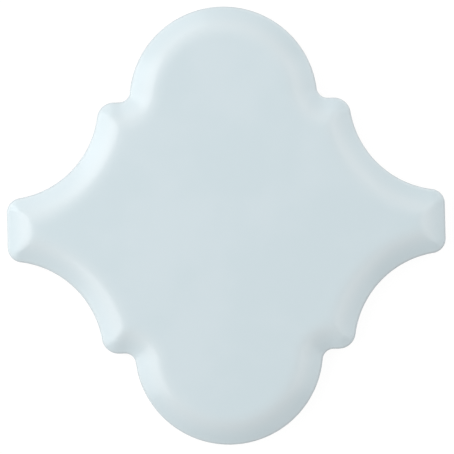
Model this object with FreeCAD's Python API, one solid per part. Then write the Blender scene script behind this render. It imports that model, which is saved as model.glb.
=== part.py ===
import FreeCAD, Part
import math
import os

# One arabesque wall tile, pressed and fired in one piece, lying on its back.
# The origin is the middle of the back, +X runs to the right-hand tip, +Y to
# the upper lobe and +Z out of the glazed face. Sizes are in millimetres.

# Outline in plan
tile_width = 150.0  # over the two flat tips
tile_height = 150.0  # over the two round lobes
lobe_radius = 32.2
lobe_rise = 32.0  # height of a lobe above its shoulders
inner_corner_radius = 3.7  # hollow corner between a lobe and its shoulder
shoulder_flat = 2.0  # straight part of a shoulder
shoulder_corner_radius = 5.8
cove_radius = 32.3  # hollow in which the lobe of the next tile lies
tip_corner_radius = 5.0
tip_flat = 12.0  # straight part of a tip's end

# Section of the edge
tile_thickness = 9.0  # from the back to the flat middle of the face
bevel_width = 11.0  # from the side to the flat middle
bevel_radius = 90.0  # gentle crown across the bevel
bevel_slope = 20.0  # slope of the bevel where it meets the crest, in degrees
crest_radius = 12.5  # rounding from the bevel into the flat middle
arris_radius = 1.3  # rounding from the side into the bevel
back_chamfer = 0.6  # broken edge round the back

# Keying grooves pressed into the back
back_border = 7.0  # plain border outside the grooves
groove_width = 5.0
groove_pitch = 8.0
groove_depth = 0.8

# Reach of a cutter beyond the solid that it cuts
cutter_reach = 1.0

# Headings in plan, in degrees from +X
RIGHT, UP, LEFT, DOWN = 0, 90, 180, 270


def vector(x, y, z=0.0):
    return FreeCAD.Vector(x, y, z)


def leg(hypotenuse, other_leg):
    """Third side of a right-angled triangle."""
    return math.sqrt(hypotenuse**2 - other_leg**2)


def heading(start, end):
    """Heading from one point to another."""
    return math.degrees(math.atan2(end.y - start.y, end.x - start.x))


def turn_between(first, last):
    """Counter-clockwise turn from one heading to another, from 0 to 360."""
    return (last - first) % 360


def centre_beside(start, start_reach, end, end_reach):
    """Point at these distances from two others, on the left of the way from start to end."""
    way = end - start
    along = (start_reach**2 - end_reach**2 + way.Length**2) / (2 * way.Length)
    ahead = way / way.Length
    leftward = vector(-ahead.y, ahead.x)
    return start + ahead * along + leftward * leg(start_reach, along)


# Centres of the arcs in the upper right quarter, each touching the next
half_width = tile_width / 2
half_height = tile_height / 2
shoulder_y = half_height - lobe_rise
lobe_centre = vector(0, half_height - lobe_radius)
inner_y = shoulder_y + inner_corner_radius
inner_x = leg(lobe_radius + inner_corner_radius, inner_y - lobe_centre.y)
inner_centre = vector(inner_x, inner_y)
shoulder_centre = vector(inner_x + shoulder_flat, shoulder_y - shoulder_corner_radius)
tip_centre = vector(half_width - tip_corner_radius, tip_flat / 2)
cove_centre = centre_beside(
    shoulder_centre,
    cove_radius + shoulder_corner_radius,
    tip_centre,
    cove_radius + tip_corner_radius,
)

# Arcs as centre, radius, first and last heading. The tile lies outside the hollow ones.
hollow_arcs = [
    (inner_centre, inner_corner_radius, heading(inner_centre, lobe_centre), DOWN),
    (cove_centre, cove_radius, heading(cove_centre, shoulder_centre), heading(cove_centre, tip_centre)),
]
round_arcs = [
    (lobe_centre, lobe_radius, heading(lobe_centre, inner_centre), UP),
    (shoulder_centre, shoulder_corner_radius, heading(shoulder_centre, cove_centre), UP),
    (tip_centre, tip_corner_radius, RIGHT, heading(tip_centre, cove_centre)),
]


def mirrored(shape, left, lower):
    """Copy of a shape on the left side, on the lower side or on both."""
    if left:
        shape = shape.mirror(vector(0, 0), vector(1, 0))
    if lower:
        shape = shape.mirror(vector(0, 0), vector(0, 1))
    return shape


def in_all_quarters(shape):
    return [mirrored(shape, left, lower) for left in (False, True) for lower in (False, True)]


def arc_edge(centre, radius, first, last):
    points = []
    for share in (0, 0.5, 1):
        angle = math.radians(first + share * turn_between(first, last))
        points.append(centre + vector(radius * math.cos(angle), radius * math.sin(angle)))
    return Part.Arc(*points).toShape()


def outline():
    """Closed wire of the tile in plan."""
    shoulder = Part.makeLine(
        vector(shoulder_centre.x, shoulder_y),
        vector(inner_centre.x, shoulder_y),
    )
    tip = Part.makeLine(vector(half_width, -tip_centre.y), vector(half_width, tip_centre.y))
    edges = in_all_quarters(shoulder) + [tip, mirrored(tip, True, False)]
    for arc in hollow_arcs + round_arcs:
        edges += in_all_quarters(arc_edge(*arc))
    return Part.Wire(Part.__sortEdges__(edges))


def bevel_section(place):
    """Face in the XZ plane that covers all the bevel leaves off.

    Below, it has three arcs that touch each other: arris, crowned bevel and crest.
    place turns an inset from the side of the tile into an X coordinate."""
    upright = math.radians(90)
    inner_slope = math.radians(bevel_slope)
    crest_z = tile_thickness - crest_radius
    bevel_inset = bevel_width + (bevel_radius - crest_radius) * math.sin(inner_slope)
    bevel_z = crest_z - (bevel_radius - crest_radius) * math.cos(inner_slope)
    outer_slope = math.asin((bevel_inset - arris_radius) / (bevel_radius - arris_radius))
    side_z = bevel_z + (bevel_radius - arris_radius) * math.cos(outer_slope)
    over_z = tile_thickness + cutter_reach

    def at(inset, z):
        return vector(place(inset), 0, z)

    def rounding(inset, z, radius, first, last):
        """Arc about a centre at an inset and height, by its slopes at the two ends."""
        points = []
        for angle in (first, (first + last) / 2, last):
            points.append(at(inset - radius * math.sin(angle), z + radius * math.cos(angle)))
        return Part.Arc(*points).toShape()

    outer = Part.makePolygon([
        at(bevel_width, tile_thickness),
        at(bevel_width, over_z),
        at(-cutter_reach, over_z),
        at(-cutter_reach, side_z),
        at(0, side_z),
    ])
    arris = rounding(arris_radius, side_z, arris_radius, upright, outer_slope)
    bevel = rounding(bevel_inset, bevel_z, bevel_radius, outer_slope, inner_slope)
    crest = rounding(bevel_width, crest_z, crest_radius, inner_slope, 0)
    return Part.Face(Part.Wire(Part.__sortEdges__(outer.Edges + [arris, bevel, crest])))


def straight_cutter(start, length, inward):
    """Bevel cutter along a straight side; seen along the inward heading, it runs to the left."""
    cutter = bevel_section(lambda inset: inset).extrude(vector(0, length))
    cutter.rotate(vector(0, 0), vector(0, 0, 1), inward)
    cutter.translate(start)
    return cutter


def turned_cutter(section, centre, radius, first, last):
    """Bevel cutter round an arc, from the part of a section on the outer side of the axis."""
    reach = radius + bevel_width
    over_z = tile_thickness + cutter_reach
    beside_axis = Part.Face(Part.makePolygon([
        vector(0, 0),
        vector(reach, 0),
        vector(reach, 0, over_z),
        vector(0, 0, over_z),
        vector(0, 0),
    ]))
    section = section.common(beside_axis).Faces[0]
    section.rotate(vector(0, 0), vector(0, 0, 1), first)
    section.translate(centre)
    return section.revolve(centre, vector(0, 0, 1), turn_between(first, last))


def hollow_cutter(centre, radius, first, last):
    section = bevel_section(lambda inset: radius + inset)
    return turned_cutter(section, centre, radius, first, last)


def round_cutter(centre, radius, first, last):
    section = bevel_section(lambda inset: radius - inset)
    return turned_cutter(section, centre, radius, first, last)


def bevel_cutters():
    """One cutter along each side and arc. Where two overlap, their slopes meet in a mitre."""
    shoulder_start = vector(inner_centre.x, shoulder_y)
    shoulder = straight_cutter(shoulder_start, shoulder_centre.x - inner_centre.x, DOWN)
    tip = straight_cutter(tip_centre + vector(tip_corner_radius, 0), 2 * tip_centre.y, LEFT)
    cutters = in_all_quarters(shoulder) + [tip, mirrored(tip, True, False)]
    for arc in hollow_arcs:
        cutters += in_all_quarters(hollow_cutter(*arc))
    for arc in round_arcs:
        cutters += in_all_quarters(round_cutter(*arc))
    return cutters


def keying_grooves():
    """Parallel grooves from lobe to lobe, with a rib along the middle of the back."""
    field = Part.Face(outline().makeOffset2D(-back_border))
    room = half_width - back_border - groove_width / 2
    count = int(room / groove_pitch + 0.5)
    grooves = []
    for number in range(count):
        middle = (number + 0.5) * groove_pitch
        strip = Part.makeBox(
            groove_width,
            tile_height,
            groove_depth,
            vector(middle - groove_width / 2, -half_height),
        )
        grooves += [strip, mirrored(strip, True, False)]
    return field.extrude(vector(0, 0, groove_depth)).common(grooves)


blank = Part.Face(outline()).extrude(vector(0, 0, tile_thickness))
back_edges = [edge for edge in blank.Edges if edge.BoundBox.ZMax < back_chamfer]
blank = blank.makeChamfer(back_chamfer, back_edges)
tile = blank.cut(bevel_cutters()).cut(keying_grooves())
tile = tile.Solids[0]

os.makedirs("parts", exist_ok=True)
tile.exportStep("parts/tile.step")
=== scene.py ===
import math

import bpy
import numpy as np
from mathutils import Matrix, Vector
from mathutils.geometry import tessellate_polygon


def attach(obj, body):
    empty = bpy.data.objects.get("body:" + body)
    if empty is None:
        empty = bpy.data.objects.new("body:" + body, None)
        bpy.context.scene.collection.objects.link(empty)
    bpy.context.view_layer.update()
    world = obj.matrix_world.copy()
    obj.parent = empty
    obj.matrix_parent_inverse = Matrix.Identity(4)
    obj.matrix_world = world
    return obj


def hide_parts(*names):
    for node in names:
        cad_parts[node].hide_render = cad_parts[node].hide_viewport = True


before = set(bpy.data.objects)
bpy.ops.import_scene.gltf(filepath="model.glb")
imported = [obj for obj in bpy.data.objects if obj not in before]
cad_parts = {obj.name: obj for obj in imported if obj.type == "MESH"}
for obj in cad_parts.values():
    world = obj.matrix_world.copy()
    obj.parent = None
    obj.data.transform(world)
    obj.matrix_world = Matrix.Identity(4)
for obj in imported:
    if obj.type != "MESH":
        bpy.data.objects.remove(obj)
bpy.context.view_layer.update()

bl_info = {
    "name": "Arabesque Wall Tile",
    "version": (1, 0, 0),
    "blender": (4, 5, 0),
    "location": "3D View > Sidebar > Tile",
    "description": "Makes a glazed arabesque wall tile and the table that it is lit on",
    "category": "Object",
}

# The tile lies on its back. The origin is the middle of the back, +X runs to the
# right-hand tip, +Y to the upper lobe and +Z out of the glazed face. Lengths are in metres.

MM = 0.001


def length(name, description, millimetres):
    """Length that a user may change, with its default written in millimetres."""
    return bpy.props.FloatProperty(
        name=name,
        description=description,
        default=millimetres * MM,
        precision=5,
        unit="LENGTH",
    )


def angle(name, description, degrees):
    """Angle that a user may change, with its default written in degrees."""
    return bpy.props.FloatProperty(
        name=name,
        description=description,
        default=math.radians(degrees),
        precision=4,
        subtype="ANGLE",
        unit="ROTATION",
    )


def number(name, description, default):
    """Plain number, not below zero, that a user may change."""
    return bpy.props.FloatProperty(name=name, description=description, default=default, min=0.0)


def linear(hex_colour):
    """Linear RGB of a colour written in sRGB, such as C8D2D8.

    The numbers are the sRGB curve's own: a straight foot, and a power of 2.4 above it."""
    channels = [int(hex_colour[i : i + 2], 16) / 255 for i in (0, 2, 4)]
    return [c / 12.92 if c <= 0.04045 else ((c + 0.055) / 1.055) ** 2.4 for c in channels]


def colour(name, description, hex_colour):
    """Colour that a user may change, with its default written in sRGB."""
    return bpy.props.FloatVectorProperty(
        name=name,
        description=description,
        default=linear(hex_colour),
        min=0.0,
        max=1.0,
        size=3,
        subtype="COLOR",
    )


class TilePlan(bpy.types.PropertyGroup):
    """Sizes of the outline."""

    width: length("Width", "Over the two flat tips", 150.0)
    height: length("Height", "Over the two round lobes", 150.0)
    lobe_radius: length("Lobe radius", "Round lobe at the top and at the bottom", 32.2)
    lobe_rise: length("Lobe rise", "Height of a lobe above its shoulders", 32.0)
    inner_radius: length("Inner corner radius", "Hollow corner between lobe and shoulder", 3.7)
    shoulder_flat: length("Shoulder flat", "Straight part of a shoulder", 2.0)
    shoulder_radius: length("Shoulder radius", "Rounding of a shoulder's corner", 5.8)
    cove_radius: length("Cove radius", "Hollow in which the lobe of the next tile lies", 32.3)
    tip_radius: length("Tip radius", "Rounding of a tip's corners", 5.0)
    tip_flat: length("Tip flat", "Straight part of a tip's end", 12.0)


class TileEdge(bpy.types.PropertyGroup):
    """Sizes of the section through the edge."""

    thickness: length("Thickness", "From the back to the flat middle of the face", 9.0)
    bevel_width: length("Bevel width", "From the side to the flat middle", 11.0)
    bevel_radius: length("Bevel radius", "Gentle crown across the bevel", 90.0)
    bevel_slope: angle("Bevel slope", "Slope of the bevel where it meets the crest", 20.0)
    crest_radius: length("Crest radius", "Rounding from the bevel into the flat middle", 12.5)
    arris_radius: length("Arris radius", "Rounding from the side into the bevel", 1.3)
    mitre_reach: length("Mitre reach", "Reach over which the glaze rounds a mitre", 1.6)
    mitre_run: length("Mitre run", "Way inwards over which the rounding grows to its reach", 2.5)
    glaze_thickness: length("Glaze thickness", "How far the glaze stands off the side", 0.12)
    glaze_line: length("Glaze line", "Mean height at which the glaze ends on the side", 2.6)
    glaze_wave: length("Glaze wave", "Height that each wave of its end is a share of", 0.35)
    thin_arris: length("Thin arris", "Reach of the thin glaze over the arris", 1.0)
    # The next two place the paler band along the crest, which is a painted highlight there
    # rather than thin glaze
    crest_highlight_inset: length("Thin crest", "From the side to the thin glaze over the crest", 7.0)
    crest_highlight_reach: length("Thin crest reach", "Reach of the thin glaze over the crest", 3.0)
    back_chamfer: length("Back chamfer", "Broken edge round the back", 0.6)


class TileBack(bpy.types.PropertyGroup):
    """Sizes of the keying grooves in the back."""

    border: length("Border", "Plain border outside the grooves", 7.0)
    groove_width: length("Groove width", "Width of one groove", 5.0)
    groove_pitch: length("Groove pitch", "From one groove to the next", 8.0)
    groove_depth: length("Groove depth", "Depth of one groove", 0.8)
    groove_wall: length("Groove wall", "Run in plan of a groove's rounded wall", 0.6)


class TileFinish(bpy.types.PropertyGroup):
    """Colours of the glaze and of the clay body."""

    glaze: colour("Glaze", "Glaze of even thickness", "D0DDE2")
    glaze_pooled: colour("Pooled glaze", "Glaze that has gathered a little", "CDDBE0")
    # Paler colour for glaze drawn thin over the arris, and for a painted highlight along the
    # crest
    glaze_thin: colour("Thin glaze", "Glaze drawn thin, with the white ground showing", "D4DFE3")
    biscuit: colour("Biscuit", "Unglazed clay body", "E4DBCC")
    biscuit_grain: colour("Biscuit grain", "Darker grains of the clay body", "D2C5B1")


class TileStudio(bpy.types.PropertyGroup):
    """View and light."""

    view_width: length("View width", "Width of the view at the tile's upper edge", 155.5)
    lens: number("Lens", "Focal length in millimetres", 100.0)
    view_right: length("View right", "How far the view's middle is right of the tile's", 0.24)
    view_down: length("View down", "How far the view's middle is below the tile's", 0.47)
    turn: angle("Turn", "How far the tile is turned anticlockwise in the view", 1.297)
    floor_side: length("Floor side", "Side of the square floor", 3000.0)
    paper_glow: number("Paper glow", "Light of its own that the floor shows", 0.925)
    paper_grey: number("Paper grey", "Share of the light on it that the floor throws back", 0.11)
    ambient: number("Ambient", "Strength of the even light from all round", 0.465)
    softbox_width: length("Softbox width", "Level side of each lamp", 900.0)
    softbox_height: length("Softbox height", "Upright side of each lamp", 400.0)
    softbox_distance: length("Softbox distance", "From each lamp to the tile", 800.0)
    left_low_power: number("Left low", "Watts of the low softbox on the left", 1.55)
    left_high_power: number("Left high", "Watts of the high softbox on the left", 2.45)
    upper_left_power: number("Upper left", "Watts of the softbox at the upper left", 1.6)
    upper_right_power: number("Upper right", "Watts of the softbox at the upper right", 1.5)
    right_power: number("Right", "Watts of the softbox on the right", 1.2)


# Points that each arc of a quarter is drawn with, and stations that are then spread evenly
# along the quarter, about 0.5 mm apart
ARC_SAMPLES = 200
QUARTER_STATIONS = 230

# Arcs closer than this touch, with no straight run between them
SHORTEST_RUN = 0.1 * MM

# Inset at which the carried section ends, less than the radius of every round corner
MITRE_FOOT = 2.5 * MM

# Share of the way from the middle out to that inset at which the crest has ended everywhere
CREST_SHARE = 0.7

# Rows of points over each part of the side and face, from the end of the glaze upwards and
# inwards
LIP_ROWS = 5
SIDE_ROWS = 2
ARRIS_ROWS = 10
BEVEL_ROWS = 8
CREST_ROWS = 48
FACE_ROWS = 6

# Height of the glaze's rounded lip as a multiple of its thickness
LIP_STRETCH = 2

# Rings of faces that the glaze leaves bare: the broken edge and the foot of the side
BISCUIT_RINGS = 2

# Rings of points that a rounded mitre is the mean of: share of the reach, and points
MITRE_RINGS = ((0.5, 8), (1.0, 12))

# Waves of the glaze's end: periods round the tile, phase in radians, share of the height
GLAZE_WAVES = ((3, 0.4, 0.5), (7, 2.1, 0.6), (16, 1.3, 0.5), (31, 0.2, 0.35), (67, 3.0, 0.2))

# Points over a groove's rounded wall, across its floor and along its floor, and halvings
# that find its end
WALL_POINTS = 6
ACROSS_POINTS = 8
ALONG_POINTS = 10
HALVINGS = 24

# Faces that meet at more than this show as an edge
SHARP_ANGLE = math.radians(35)

# Patches in which the glaze gathers, from one to the next
GLAZE_PATCH = 20 * MM

# Swell of the fired glaze, from crest to crest, and its height
GLAZE_SWELL = 14 * MM
GLAZE_SWELL_HEIGHT = 0.03 * MM

# Grains of the clay, from one to the next, and their height
CLAY_GRAIN = 0.7 * MM
CLAY_GRAIN_HEIGHT = 0.08 * MM

WHITE = [1.0, 1.0, 1.0, 1.0]

# The floor lies this far under the tile, so that the two don't share a plane
FLOOR_GAP = 0.1 * MM

# Corners of the square floor, in halves of its side
FLOOR_CORNERS = ((-1, -1), (1, -1), (1, 1), (-1, 1))

# Nearest distance at which the camera shows a surface
NEAR_CLIP = 10 * MM

# Azimuth and elevation of each softbox in degrees, by the tile's own compass: 0 is its
# right-hand tip and 90 its upper lobe
SOFTBOXES = {
    "left_low": (180, 15),
    "left_high": (180, 45),
    "upper_left": (135, 30),
    "upper_right": (45, 15),
    "right": (0, 45),
}


def direction(heading):
    """Unit vectors in plan for headings in radians."""
    return np.stack([np.cos(heading), np.sin(heading)], axis=-1)


def heading_to(start, end):
    """Heading in radians of one point in plan from another."""
    return math.atan2(end[1] - start[1], end[0] - start[0])


def leg(hypotenuse, other_leg):
    """Leg of a right-angled triangle: the root of the difference of the squares."""
    return math.sqrt(hypotenuse**2 - other_leg**2)


def plan_arcs(plan):
    """Arcs of the upper right quarter, in order from the tip to the crown of the lobe.

    Each is a centre, radius, start and end heading, and a side that is 1 where the tile
    lies inside the arc and -1 where it lies outside. Straight runs lie before the tip's
    corner and along the shoulder. Elsewhere each circle touches the next from outside, so
    their centres are the sum of their radii apart."""
    half_width, half_height = plan.width / 2, plan.height / 2
    shoulder_y = half_height - plan.lobe_rise
    lobe = np.array([0.0, half_height - plan.lobe_radius])
    inner_y = shoulder_y + plan.inner_radius
    inner_x = leg(plan.lobe_radius + plan.inner_radius, inner_y - lobe[1])
    inner = np.array([inner_x, inner_y])
    shoulder = np.array([inner_x + plan.shoulder_flat, shoulder_y - plan.shoulder_radius])
    tip = np.array([half_width - plan.tip_radius, plan.tip_flat / 2])

    # The cove touches both corners, and lies on the left of the way from shoulder to tip.
    shoulder_reach = plan.cove_radius + plan.shoulder_radius
    tip_reach = plan.cove_radius + plan.tip_radius
    way = tip - shoulder
    run = np.hypot(*way)
    along = (shoulder_reach**2 - tip_reach**2 + run**2) / (2 * run)
    ahead = way / run
    leftward = np.array([-ahead[1], ahead[0]])
    cove = shoulder + ahead * along + leftward * leg(shoulder_reach, along)

    right, up, down = 0.0, math.pi / 2, math.pi * 3 / 2
    cove_start = heading_to(cove, tip) % math.tau
    cove_end = heading_to(cove, shoulder) % math.tau
    inner_end = heading_to(inner, lobe) % math.tau
    return [
        (tip, plan.tip_radius, right, heading_to(tip, cove), 1),
        (cove, plan.cove_radius, cove_start, cove_end, -1),
        (shoulder, plan.shoulder_radius, heading_to(shoulder, cove), up, 1),
        (inner, plan.inner_radius, down, inner_end, -1),
        (lobe, plan.lobe_radius, heading_to(lobe, inner), up, 1),
    ]


def outline_stations(plan):
    """Points on the whole outline and their outward normals, evenly spaced, anticlockwise.

    A quarter is laid out arc by arc, with straight runs between arcs that don't meet. The
    other quarters are its mirror images."""
    points = [np.array([[plan.width / 2, 0.0]])]
    normals = [np.array([[1.0, 0.0]])]
    for centre, radius, start, end, side in plan_arcs(plan):
        spokes = direction(np.linspace(start, end, ARC_SAMPLES))
        points.append(centre + radius * spokes)
        normals.append(side * spokes)
    points, normals = np.concatenate(points), np.concatenate(normals)
    steps = np.linalg.norm(np.diff(points, axis=0), axis=1)
    travelled = np.concatenate([[0.0], np.cumsum(steps)])
    stations = np.linspace(0.0, travelled[-1], QUARTER_STATIONS + 1)

    def at_stations(values):
        return np.stack([np.interp(stations, travelled, values[:, k]) for k in (0, 1)], axis=1)

    def all_quarters(quarter):
        forward, backward = quarter[:-1], quarter[::-1][:-1]
        left, both, lower = np.array([[-1, 1]]), np.array([[-1, -1]]), np.array([[1, -1]])
        return np.concatenate([forward, backward * left, forward * both, backward * lower])

    return all_quarters(at_stations(points)), all_quarters(at_stations(normals))


def inset_of(plan, points):
    """Distance in plan from points inside the outline to its nearest side.

    The points are folded into the upper right quarter. On an arc, the nearest point has
    the point's own heading from the centre, kept between the arc's ends. On a straight
    run it is the foot of the perpendicular, kept between the run's ends."""
    folded = np.abs(points)
    distances = []
    before = np.array([plan.width / 2, 0.0])
    for centre, radius, start, end, _ in plan_arcs(plan):
        away = folded - centre
        middle, half = (start + end) / 2, abs(end - start) / 2
        turn = np.arctan2(away[..., 1], away[..., 0]) - middle
        turn = (turn + math.pi) % math.tau - math.pi
        touch = centre + radius * direction(middle + np.clip(turn, -half, half))
        distances.append(np.linalg.norm(folded - touch, axis=-1))

        after = centre + radius * direction(start)
        run = after - before
        if np.hypot(*run) > SHORTEST_RUN:
            share = np.clip((folded - before) @ run / (run @ run), 0.0, 1.0)
            foot = before + share[..., None] * run
            distances.append(np.linalg.norm(folded - foot, axis=-1))
        before = centre + radius * direction(end)
    return np.minimum.reduce(distances)


def section_arcs(edge):
    """The three arcs of the section: arris, gently crowned bevel, and crest.

    Each is its inset where it ends inwards, its centre's inset and height, and its radius.
    Each circle touches the next, so their centres are the difference of their radii apart,
    along the slope at which they meet."""
    crest_z = edge.thickness - edge.crest_radius
    from_crest = edge.bevel_radius - edge.crest_radius
    bevel_inset = edge.bevel_width + from_crest * math.sin(edge.bevel_slope)
    bevel_z = crest_z - from_crest * math.cos(edge.bevel_slope)
    bevel_end = edge.bevel_width - edge.crest_radius * math.sin(edge.bevel_slope)
    from_arris = edge.bevel_radius - edge.arris_radius
    outer_slope = math.asin((bevel_inset - edge.arris_radius) / from_arris)
    side_z = bevel_z + from_arris * math.cos(outer_slope)
    arris_end = edge.arris_radius * (1 - math.sin(outer_slope))
    return (
        (arris_end, edge.arris_radius, side_z, edge.arris_radius),
        (bevel_end, bevel_inset, bevel_z, edge.bevel_radius),
        (edge.bevel_width, edge.bevel_width, crest_z, edge.crest_radius),
    )


def side_height(edge):
    """Height at which the upright side ends and the arris begins."""
    arris = section_arcs(edge)[0]
    return arris[2]


def face_height(edge, inset):
    """Height of the face at an inset, on the first of the section's arcs that reaches it.

    The flat middle is the crest's highest point carried inwards."""
    reach = np.minimum(inset, edge.bevel_width)
    heights = []
    ends = []
    for end, centre, centre_z, radius in section_arcs(edge):
        run = np.clip(centre - reach, -radius, radius)
        heights.append(centre_z + np.sqrt(radius**2 - run**2))
        ends.append(reach <= end)
    return np.select(ends, heights, heights[-1])


def softened_height(plan, edge, points):
    """Height of the glazed face at points well inside the side.

    It is the mean of the section's height at each point and on two rings of points round
    it, which rounds the mitres as the molten glaze does. The rings grow from the foot of
    the mitres inwards."""
    inset = inset_of(plan, points)
    reach = edge.mitre_reach * np.clip((inset - MITRE_FOOT) / edge.mitre_run, 0.0, 1.0)
    heights = [face_height(edge, inset)]
    for share, around in MITRE_RINGS:
        for spoke in direction(np.linspace(0.0, math.tau, around, endpoint=False)):
            beside = points + share * reach[:, None] * spoke
            heights.append(face_height(edge, inset_of(plan, beside)))
    return np.mean(heights, axis=0)


def glaze_end(edge, stations):
    """Height at which the glaze ends on the side, at each station.

    It is the glaze line and a sum of sine waves, each with a whole number of periods round
    the tile."""
    turn = np.linspace(0.0, math.tau, stations, endpoint=False)
    total = sum(share * np.sin(periods * turn + phase) for periods, phase, share in GLAZE_WAVES)
    return edge.glaze_line + edge.glaze_wave * total


def thinness_and_crest_highlight(plan, edge, points):
    """How thin the glaze has drawn over the arris, and how strong the painted highlight along
    the crest is, at each point, from 0 to 1.

    It is the sum of two bell curves of the distance to the nearest side: one over the arris,
    where the glaze draws thin, and one over the crest, which is a painted highlight."""
    inset = inset_of(plan, points)
    over_arris = np.exp(-((inset / edge.thin_arris) ** 2))
    highlight_over_crest = np.exp(-(((inset - edge.crest_highlight_inset) / edge.crest_highlight_reach) ** 2))
    return np.minimum(over_arris + highlight_over_crest, 1.0)


def rows_round_edge(plan, edge):
    """Rows of points from the back's rim, up the side and over the arris, to the foot of
    the mitres.

    The section is carried along the outline: each row is the outline moved in by an inset,
    at a height. The lip of the glaze is a quarter of an ellipse."""
    points, normals = outline_stations(plan)
    side_z = side_height(edge)
    end_z = glaze_end(edge, len(points))
    even = np.ones(len(points))
    skin = edge.glaze_thickness
    inset_and_z = [
        (skin + edge.back_chamfer, 0.0 * even),
        (skin, edge.back_chamfer * even),
        (skin, end_z),
    ]
    lip = LIP_STRETCH * skin
    for turn in np.linspace(0.0, math.pi / 2, LIP_ROWS + 1)[1:]:
        inset_and_z.append((skin * (1 - math.sin(turn)), end_z + lip * (1 - math.cos(turn))))
    for share in np.linspace(0.0, 1.0, SIDE_ROWS + 1)[1:]:
        inset_and_z.append((0.0, (1 - share) * (end_z + lip) + share * side_z))
    arris_end = section_arcs(edge)[0][0]
    over_arris = arris_end * (1 - np.cos(np.linspace(0.0, math.pi / 2, ARRIS_ROWS + 1)[1:]))
    for inset in [*over_arris, *np.linspace(arris_end, MITRE_FOOT, BEVEL_ROWS + 1)[1:]]:
        inset_and_z.append((inset, face_height(edge, inset) * even))
    return [np.column_stack([points - inset * normals, z]) for inset, z in inset_and_z]


def rows_to_middle(plan, edge, rim):
    """Rows from the foot of the mitres to the middle of the face.

    Each row is the first one drawn in towards the middle, closely at first, and its
    height is the softened height of the section there."""
    close = np.linspace(1.0, CREST_SHARE, CREST_ROWS + 1)[1:]
    wide = np.linspace(CREST_SHARE, 0.0, FACE_ROWS + 2)[1:-1]
    rows = []
    for share in np.concatenate([close, wide]):
        points = rim * share
        rows.append(np.column_stack([points, softened_height(plan, edge, points)]))
    return rows


def groove_patches(plan, back):
    """Points of every keying groove, as an array of groove, place across and place along.

    A groove runs up the tile and ends where the outline, moved in by the border, crosses
    it. Its depth is a smooth step of the distance to its nearest side or end. The places
    over a wall are a half turn of a cosine, closest at its rim and foot."""
    # As many grooves on each side as there is room for, the first half a pitch out
    room = plan.width / 2 - back.border - back.groove_width / 2
    count = int(room / back.groove_pitch + 0.5)
    middles = (np.arange(-count, count) + 0.5) * back.groove_pitch
    half_turn = np.linspace(0.0, math.pi, WALL_POINTS)
    wall = back.groove_wall * (1 - np.cos(half_turn)) / 2
    inner_width = back.groove_width - 2 * back.groove_wall
    floor = back.groove_wall + inner_width * np.linspace(0.0, 1.0, ACROSS_POINTS + 2)[1:-1]
    across = np.concatenate([wall, floor, back.groove_width - wall[::-1]])
    x = middles[:, None] - back.groove_width / 2 + across[None, :]

    # The end of a groove at each x, found by halving the span that it must lie in
    low, high = np.zeros_like(x), np.full_like(x, plan.height / 2)
    for _ in range(HALVINGS):
        middle = (low + high) / 2
        inside = inset_of(plan, np.stack([x, middle], axis=-1)) > back.border
        inside &= within_lobe_or_body(plan, x, middle)
        low, high = np.where(inside, middle, low), np.where(inside, high, middle)

    # Places along a groove: close over the end walls, even between them
    ends = wall[None, None, :]
    body = np.linspace(0.0, 1.0, ALONG_POINTS + 2)[None, None, 1:-1]
    span = 2 * low[:, :, None]
    inner = back.groove_wall + body * (span - 2 * back.groove_wall)
    along = np.concatenate([ends + 0 * span, inner, span - ends[:, :, ::-1]], axis=-1)
    y = along - span / 2
    to_side = np.minimum(across, back.groove_width - across)[None, :, None]
    to_end = np.minimum(along, span - along)
    step = np.clip(np.minimum(to_side, to_end) / back.groove_wall, 0.0, 1.0)
    z = back.groove_depth * step**2 * (3 - 2 * step)
    return np.stack([x[:, :, None] + 0 * y, y, z], axis=-1)


def within_lobe_or_body(plan, x, y):
    """Whether points of the upper half are inside the outline.

    They are inside the lobe's circle above the shoulders, or outside the cove's circle
    below them. The small corners don't count, because no groove comes near them."""
    _, cove, _, _, lobe = plan_arcs(plan)
    (cove_x, cove_y), lobe_y = cove[0], lobe[0][1]
    shoulder_y = plan.height / 2 - plan.lobe_rise
    folded_x = np.abs(x)
    in_lobe = (np.hypot(folded_x, y - lobe_y) < plan.lobe_radius) & (y > shoulder_y)
    off_cove = np.hypot(folded_x - cove_x, y - cove_y) > plan.cove_radius
    in_body = (y <= shoulder_y) & off_cove
    return in_lobe | in_body


def quads_between(first, second):
    """Faces between two closed rows of vertex numbers."""
    return np.stack([first, np.roll(first, -1), np.roll(second, -1), second], axis=1)


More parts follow.
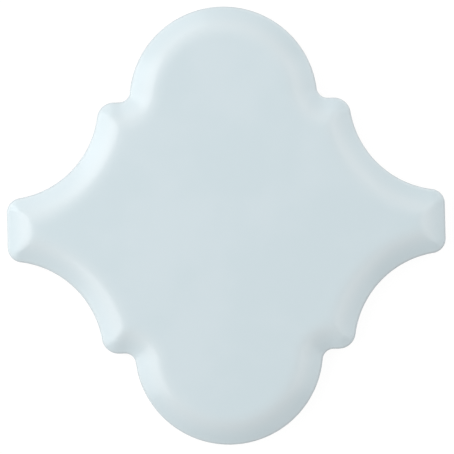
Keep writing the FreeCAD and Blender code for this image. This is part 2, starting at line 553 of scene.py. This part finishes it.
def tile_mesh(plan, edge, back):
    """The tile's vertices and faces, and how many faces, counted from the first, are the
    plain part of the back and how many are unglazed.

    Faces join each row of points to the next, and a fan closes the middle of the face."""
    rows = rows_round_edge(plan, edge)
    rows += rows_to_middle(plan, edge, rows[-1][:, :2])
    stations = len(rows[0])
    numbers = np.arange(len(rows) * stations).reshape(len(rows), stations)
    middle_of_face = np.array([[0.0, 0.0, edge.thickness]])
    middle_number = numbers.size
    grooves = groove_patches(plan, back)
    groove_numbers = middle_number + 1 + np.arange(grooves[..., 0].size)
    groove_numbers = groove_numbers.reshape(grooves.shape[:3])
    vertices = np.concatenate([*rows, middle_of_face, grooves.reshape(-1, 3)])

    # The plain part of the back is one polygon with a hole for every groove. Its triangles
    # come facing up and are turned to face down.
    rims = [numbers[0]]
    for patch in groove_numbers:
        up_and_over = [patch[0, :-1], patch[:-1, -1]]
        down_and_back = [patch[-1, :0:-1], patch[:0:-1, 0]]
        rims.append(np.concatenate([*up_and_over, *down_and_back]))
    corners = np.concatenate(rims)
    polygon = [[Vector(vertices[n]) for n in rim] for rim in rims]
    triangles = corners[np.array(tessellate_polygon(polygon))][:, ::-1]

    groove_faces = np.stack(
        [
            groove_numbers[:, :-1, :-1],
            groove_numbers[:, :-1, 1:],
            groove_numbers[:, 1:, 1:],
            groove_numbers[:, 1:, :-1],
        ],
        axis=-1,
    ).reshape(-1, 4)
    quads = [quads_between(lower, upper) for lower, upper in zip(numbers, numbers[1:])]
    last = numbers[-1]
    fan = np.stack([last, np.roll(last, -1), np.full_like(last, middle_number)], axis=1)

    biscuit = [*triangles.tolist(), *groove_faces.tolist()]
    for ring in quads[:BISCUIT_RINGS]:
        biscuit += ring.tolist()
    glazed = []
    for ring in quads[BISCUIT_RINGS:]:
        glazed += ring.tolist()
    glazed += fan.tolist()
    return vertices, biscuit + glazed, len(triangles), len(biscuit)


def add_node(tree, kind, inputs=None, **settings):
    """Adds a node, makes its settings, and sets or links its inputs."""
    node = tree.nodes.new(kind)
    for name, value in settings.items():
        setattr(node, name, value)
    for socket, value in (inputs or {}).items():
        if isinstance(value, bpy.types.NodeSocket):
            tree.links.new(value, node.inputs[socket])
        else:
            node.inputs[socket].default_value = value
    return node


def new_material(name):
    """Material with no nodes yet."""
    material = bpy.data.materials.new(name)
    material.use_nodes = True
    material.node_tree.nodes.clear()
    return material


def glossy_glaze(finish):
    """Transparent pale blue glaze, fired glossy over a white ground. The eye sees a wet
    shine, colour a shade deeper where the glaze has gathered, and paler where it draws thin
    over the arris; the paler band along the crest is a painted highlight."""
    material = new_material("glossy_glaze")
    tree = material.node_tree
    place = add_node(tree, "ShaderNodeTexCoord").outputs["Object"]
    thin_and_highlight = add_node(tree, "ShaderNodeAttribute", attribute_name="glaze_thin").outputs["Fac"]

    # The glaze gathers in soft patches.
    patches = add_node(
        tree,
        "ShaderNodeTexNoise",
        {"Vector": place, "Scale": 1 / GLAZE_PATCH, "Detail": 2.0, "Roughness": 0.45},
    )
    gathered = add_node(
        tree,
        "ShaderNodeMapRange",
        {"Value": patches.outputs["Fac"], "From Min": 0.35, "From Max": 0.65},
        interpolation_type="SMOOTHSTEP",
    )
    cloudy = add_node(
        tree,
        "ShaderNodeMix",
        {
            "Factor": gathered.outputs["Result"],
            "A": [*finish.glaze, 1.0],
            "B": [*finish.glaze_pooled, 1.0],
        },
        data_type="RGBA",
    )
    # Paler over the arris where the glaze draws thin, and along the crest as a painted
    # highlight.
    tint = add_node(
        tree,
        "ShaderNodeMix",
        {"Factor": thin_and_highlight, "A": cloudy.outputs["Result"], "B": [*finish.glaze_thin, 1.0]},
        data_type="RGBA",
    )

    # A fired glaze lies in a long, very low swell.
    swell = add_node(
        tree,
        "ShaderNodeTexNoise",
        {"Vector": place, "Scale": 1 / GLAZE_SWELL, "Detail": 1.0, "Roughness": 0.4},
    )
    surface = add_node(
        tree,
        "ShaderNodeBump",
        {"Height": swell.outputs["Fac"], "Strength": 1.0, "Distance": GLAZE_SWELL_HEIGHT},
    )
    shader = add_node(
        tree,
        "ShaderNodeBsdfPrincipled",
        {
            "Base Color": tint.outputs["Result"],
            "Roughness": 0.2,
            "IOR": 1.5,
            "Normal": surface.outputs["Normal"],
        },
    )
    add_node(tree, "ShaderNodeOutputMaterial", {"Surface": shader.outputs["BSDF"]})
    return material


def pressed_biscuit(finish):
    """Pale dust-pressed clay, fired and left bare. The eye sees a dry, chalky surface with
    fine grains, which are drawn as close as still shows."""
    material = new_material("pressed_biscuit")
    tree = material.node_tree
    place = add_node(tree, "ShaderNodeTexCoord").outputs["Object"]
    grains = add_node(
        tree,
        "ShaderNodeTexNoise",
        {"Vector": place, "Scale": 1 / CLAY_GRAIN, "Detail": 3.0, "Roughness": 0.6},
    )
    speckle = add_node(
        tree,
        "ShaderNodeMapRange",
        {"Value": grains.outputs["Fac"], "From Min": 0.5, "From Max": 0.75},
    )
    clay = add_node(
        tree,
        "ShaderNodeMix",
        {
            "Factor": speckle.outputs["Result"],
            "A": [*finish.biscuit, 1.0],
            "B": [*finish.biscuit_grain, 1.0],
        },
        data_type="RGBA",
    )
    surface = add_node(
        tree,
        "ShaderNodeBump",
        {"Height": grains.outputs["Fac"], "Strength": 1.0, "Distance": CLAY_GRAIN_HEIGHT},
    )
    shader = add_node(
        tree,
        "ShaderNodeBsdfPrincipled",
        {
            "Base Color": clay.outputs["Result"],
            "Roughness": 0.9,
            "IOR": 1.5,
            "Normal": surface.outputs["Normal"],
        },
    )
    add_node(tree, "ShaderNodeOutputMaterial", {"Surface": shader.outputs["BSDF"]})
    return material


class TILE_OT_press(bpy.types.Operator):
    """Make the tile: bevelled glazed face, side with the end of the glaze, grooved back"""

    bl_idname = "tile.press"
    bl_label = "Press and Glaze the Tile"

    def execute(self, context):
        scene = context.scene
        plan, edge = scene.tile_plan, scene.tile_edge
        vertices, faces, plain_faces, bare_faces = tile_mesh(plan, edge, scene.tile_back)
        mesh = bpy.data.meshes.new("arabesque_tile")
        mesh.from_pydata(vertices.tolist(), [], faces)
        mesh.materials.append(pressed_biscuit(scene.tile_finish))
        mesh.materials.append(glossy_glaze(scene.tile_finish))

        # The bare faces take the first material, and the plain part of the back is flat.
        slots = np.ones(len(faces), np.int32)
        slots[:bare_faces] = 0
        mesh.polygons.foreach_set("material_index", slots)
        smooth = np.ones(len(faces), bool)
        smooth[:plain_faces] = False
        mesh.polygons.foreach_set("use_smooth", smooth)

        # Share of the paler colour on the face: thin glaze over the arris, and a painted
        # highlight along the crest
        on_face = vertices[:, 2] > side_height(edge)
        thin_and_highlight = thinness_and_crest_highlight(plan, edge, vertices[:, :2]) * on_face
        attribute = mesh.attributes.new("glaze_thin", "FLOAT", "POINT")
        attribute.data.foreach_set("value", thin_and_highlight.astype(np.float32))
        mesh.validate()
        mesh.set_sharp_from_angle(angle=SHARP_ANGLE)
        tile = bpy.data.objects.new("arabesque_tile", mesh)
        scene.collection.objects.link(tile)
        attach(tile, "root")
        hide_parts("tile")
        return {"FINISHED"}


def seen_rays(tree):
    """Output that is 1 for rays that show a surface to the eye, directly, in gloss or
    through glass, and 0 for rays that only gather light."""
    rays = add_node(tree, "ShaderNodeLightPath")
    direct_or_gloss = add_node(
        tree,
        "ShaderNodeMath",
        {0: rays.outputs["Is Camera Ray"], 1: rays.outputs["Is Glossy Ray"]},
        operation="MAXIMUM",
    )
    seen = add_node(
        tree,
        "ShaderNodeMath",
        {0: direct_or_gloss.outputs[0], 1: rays.outputs["Is Transmission Ray"]},
        operation="MAXIMUM",
    )
    return seen.outputs[0]


def white_paper(studio):
    """Matt white paper. It shows as plain white, less the tile's soft shadow, and throws
    little light back on the tile."""
    material = new_material("white_paper")
    tree = material.node_tree
    grey = studio.paper_grey
    glow = add_node(
        tree,
        "ShaderNodeMath",
        {0: seen_rays(tree), 1: studio.paper_glow},
        operation="MULTIPLY",
    )
    shader = add_node(
        tree,
        "ShaderNodeBsdfPrincipled",
        {
            "Base Color": [grey, grey, grey, 1.0],
            "Roughness": 1.0,
            "Specular IOR Level": 0.0,
            "Emission Color": WHITE,
            "Emission Strength": glow.outputs[0],
        },
    )
    add_node(tree, "ShaderNodeOutputMaterial", {"Surface": shader.outputs["BSDF"]})
    return material


def even_light(ambient):
    """World of even light at a given strength, which shows as plain white."""
    world = bpy.data.worlds.new("even_light")
    world.use_nodes = True
    tree = world.node_tree
    tree.nodes.clear()
    strength = add_node(
        tree,
        "ShaderNodeMapRange",
        {"Value": seen_rays(tree), "To Min": ambient, "To Max": 1.0},
    )
    light = add_node(
        tree,
        "ShaderNodeBackground",
        {"Color": WHITE, "Strength": strength.outputs["Result"]},
    )
    add_node(tree, "ShaderNodeOutputWorld", {"Surface": light.outputs["Background"]})
    return world


def softbox(scene, name, azimuth, elevation, power):
    """Adds a rectangular lamp that faces the tile, with its width level."""
    studio = scene.tile_studio
    lamp = bpy.data.lights.new(name, "AREA")
    lamp.shape = "RECTANGLE"
    lamp.size = studio.softbox_width
    lamp.size_y = studio.softbox_height
    lamp.energy = power
    turn, rise = math.radians(azimuth), math.radians(elevation)
    flat_out = math.cos(rise)
    out = Vector((flat_out * math.cos(turn), flat_out * math.sin(turn), math.sin(rise)))
    box = bpy.data.objects.new(name, lamp)
    box.location = studio.softbox_distance * out
    box.rotation_euler = out.to_track_quat("Z", "Y").to_euler()
    box.visible_camera = False
    scene.collection.objects.link(box)


class TILE_OT_light_table(bpy.types.Operator):
    """Make the white floor, the softboxes, the even light and the camera over the tile"""

    bl_idname = "tile.light_table"
    bl_label = "Set the Stage"

    def execute(self, context):
        scene, studio = context.scene, context.scene.tile_studio
        half = studio.floor_side / 2
        corners = [(half * x, half * y, -FLOOR_GAP) for x, y in FLOOR_CORNERS]
        mesh = bpy.data.meshes.new("paper_floor")
        mesh.from_pydata(corners, [], [(0, 1, 2, 3)])
        mesh.materials.append(white_paper(studio))
        floor = bpy.data.objects.new("paper_floor", mesh)
        scene.collection.objects.link(floor)

        for name, (azimuth, elevation) in SOFTBOXES.items():
            softbox(scene, name, azimuth, elevation, getattr(studio, name + "_power"))
        scene.world = even_light(studio.ambient)

        # The camera looks straight down. Turning it clockwise turns the tile the other way.
        camera = bpy.data.cameras.new("overhead_camera")
        camera.lens = studio.lens
        camera.clip_start = NEAR_CLIP
        height = studio.view_width * studio.lens / camera.sensor_width
        turn = -studio.turn
        right = Vector((math.cos(turn), math.sin(turn), 0.0))
        down = Vector((math.sin(turn), -math.cos(turn), 0.0))
        eye = bpy.data.objects.new("overhead_camera", camera)
        eye.location = studio.view_right * right + studio.view_down * down
        eye.location.z = height + side_height(scene.tile_edge)
        eye.rotation_euler = (0.0, 0.0, turn)
        scene.collection.objects.link(eye)
        scene.camera = eye
        scene.view_settings.view_transform = "Standard"
        return {"FINISHED"}


GROUPS = {
    "tile_plan": TilePlan,
    "tile_edge": TileEdge,
    "tile_back": TileBack,
    "tile_finish": TileFinish,
    "tile_studio": TileStudio,
}


class TILE_PT_panel(bpy.types.Panel):
    """Sizes, colours and light of the tile"""

    bl_idname = "TILE_PT_panel"
    bl_label = "Arabesque Tile"
    bl_space_type = "VIEW_3D"
    bl_region_type = "UI"
    bl_category = "Tile"

    def draw(self, context):
        for name, group in GROUPS.items():
            box = self.layout.box()
            for item in group.__annotations__:
                box.prop(getattr(context.scene, name), item)
        self.layout.operator(TILE_OT_press.bl_idname)
        self.layout.operator(TILE_OT_light_table.bl_idname)


CLASSES = (*GROUPS.values(), TILE_OT_press, TILE_OT_light_table, TILE_PT_panel)


def register():
    for cls in CLASSES:
        bpy.utils.register_class(cls)
    for name, group in GROUPS.items():
        setattr(bpy.types.Scene, name, bpy.props.PointerProperty(type=group))


def unregister():
    for name in GROUPS:
        delattr(bpy.types.Scene, name)
    for cls in reversed(CLASSES):
        bpy.utils.unregister_class(cls)


def main():
    register()
    bpy.ops.tile.press()
    bpy.ops.tile.light_table()


if __name__ == "__main__":
    main()
